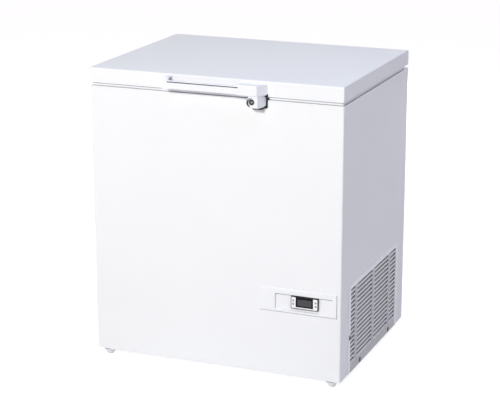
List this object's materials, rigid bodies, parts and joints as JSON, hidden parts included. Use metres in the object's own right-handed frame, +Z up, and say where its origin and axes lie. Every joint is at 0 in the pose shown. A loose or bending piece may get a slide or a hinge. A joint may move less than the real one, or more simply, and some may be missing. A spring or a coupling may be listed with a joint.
{
  "type": "chest ultra low temperature freezer",
  "caption": "Chest freezer for ultra low temperatures: foamed steel cabinet, hinged lid with bar handle and key lock, panel controller and louvred side grille.",
  "frame": {"origin": "middle of the whole part's plan, on the floor under the feet", "axes": "+X to the right seen from the front, +Y to the back with the hinges, +Z up; the handle faces -Y"},
  "size_m": [0.732, 0.622, 0.832],
  "materials": {
    "white_enamel": "satin stoved enamel on steel sheet",
    "zinc_sheet": "hot-dip galvanised sheet",
    "stainless_liner": "bead-blasted stainless sheet",
    "foam": "rigid foam",
    "white_plastic": "satin moulded plastic",
    "grey_buttons": "moulded",
    "seal": "soft extruded seal",
    "black_plastic": "moulded",
    "window_black": "polished",
    "display_grey": "glossy display cell",
    "nylon": "moulded nylon",
    "black_rubber": "moulded rubber",
    "zinc_steel": "bright zinc plated",
    "chrome": "plated",
    "copper": "drawn tube",
    "black_enamel": "gloss enamel",
    "condenser_alloy": "fins",
    "motor_grey": "enamel",
    "clip_plastic": "moulded"
  },
  "bodies": {
    "cabinet": {"back_panel": "white_enamel", "back_screws": "zinc_steel", "base_tray": "zinc_sheet", "cabinet_foam": "foam", "cabinet_wrap": "white_enamel", "cable_gland": "black_plastic", "capillary_line": "copper", "compartment_ceiling": "zinc_sheet", "compressor_foot": "zinc_sheet", "compressor_shell": "black_enamel", "condenser": "condenser_alloy", "control_fascia": "white_plastic", "controller_bezel": "black_plastic", "controller_case": "black_plastic", "controller_clips": "black_plastic", "discharge_line": "copper", "display_glass": "display_grey", "display_window": "window_black", "electric_box": "black_plastic", "evaporator": "copper", "fan_motor": "motor_grey", "fan_shroud": "zinc_sheet", "feet": "nylon", "filter_drier": "copper", "foot_nuts": "zinc_steel", "grille_screws": "zinc_steel", "grommets": "black_rubber", "hinge_bases": "zinc_steel", "hinge_pins": "zinc_steel", "hinge_screws": "zinc_steel", "liner_tub": "stainless_liner", "liquid_line": "copper", "lock_backplate": "black_plastic", "lock_body": "white_plastic", "lock_collar": "black_plastic", "motor_bracket": "zinc_sheet", "mount_bolts": "zinc_steel", "pipe_grommets": "black_rubber", "probe": "zinc_steel", "probe_clip": "clip_plastic", "rim_trim": "white_plastic", "side_grille": "white_plastic", "suction_line": "copper", "terminal_cover": "black_plastic"},
    "lid": {"lid_skin": "white_enamel", "lid_liner": "white_plastic", "lid_foam": "foam", "lid_gasket": "seal", "lid_handle": "white_plastic", "catch_plate": "black_plastic", "catch_hook": "zinc_steel", "hinge_leaves": "zinc_steel", "leaf_screws": "zinc_steel"},
    "fan": {"fan_rotor": "black_plastic"},
    "key": {"lock_barrel": "chrome", "lock_cam": "zinc_steel"},
    "button_a": {"button_1": "grey_buttons"},
    "button_b": {"button_2": "grey_buttons"},
    "button_c": {"button_3": "grey_buttons"},
    "button_d": {"button_4": "grey_buttons"}
  },
  "joints": [
    {"name": "lid_hinge", "type": "hinge", "parent": "cabinet", "child": "lid", "pos_m": [0, 0.303, 0.786], "axis": [-1, 0, 0], "range_deg": [0, 85]},
    {"name": "key_turn", "type": "hinge", "parent": "cabinet", "child": "key", "pos_m": [0.1195, -0.304, 0.778], "axis": [0, 1, 0], "range_deg": [0, 90]},
    {"name": "fan_spin", "type": "hinge", "parent": "cabinet", "child": "fan", "pos_m": [0.2607, 0.0065, 0.14], "axis": [1, 0, 0], "continuous": true},
    {"name": "button_a_press", "type": "slide", "parent": "cabinet", "child": "button_a", "axis": [0, 1, 0], "range_m": [0, 0.0008], "stiffness_N_per_m": 300},
    {"name": "button_b_press", "type": "slide", "parent": "cabinet", "child": "button_b", "axis": [0, 1, 0], "range_m": [0, 0.0008], "stiffness_N_per_m": 300},
    {"name": "button_c_press", "type": "slide", "parent": "cabinet", "child": "button_c", "axis": [0, 1, 0], "range_m": [0, 0.0008], "stiffness_N_per_m": 300},
    {"name": "button_d_press", "type": "slide", "parent": "cabinet", "child": "button_d", "axis": [0, 1, 0], "range_m": [0, 0.0008], "stiffness_N_per_m": 300}
  ]
}
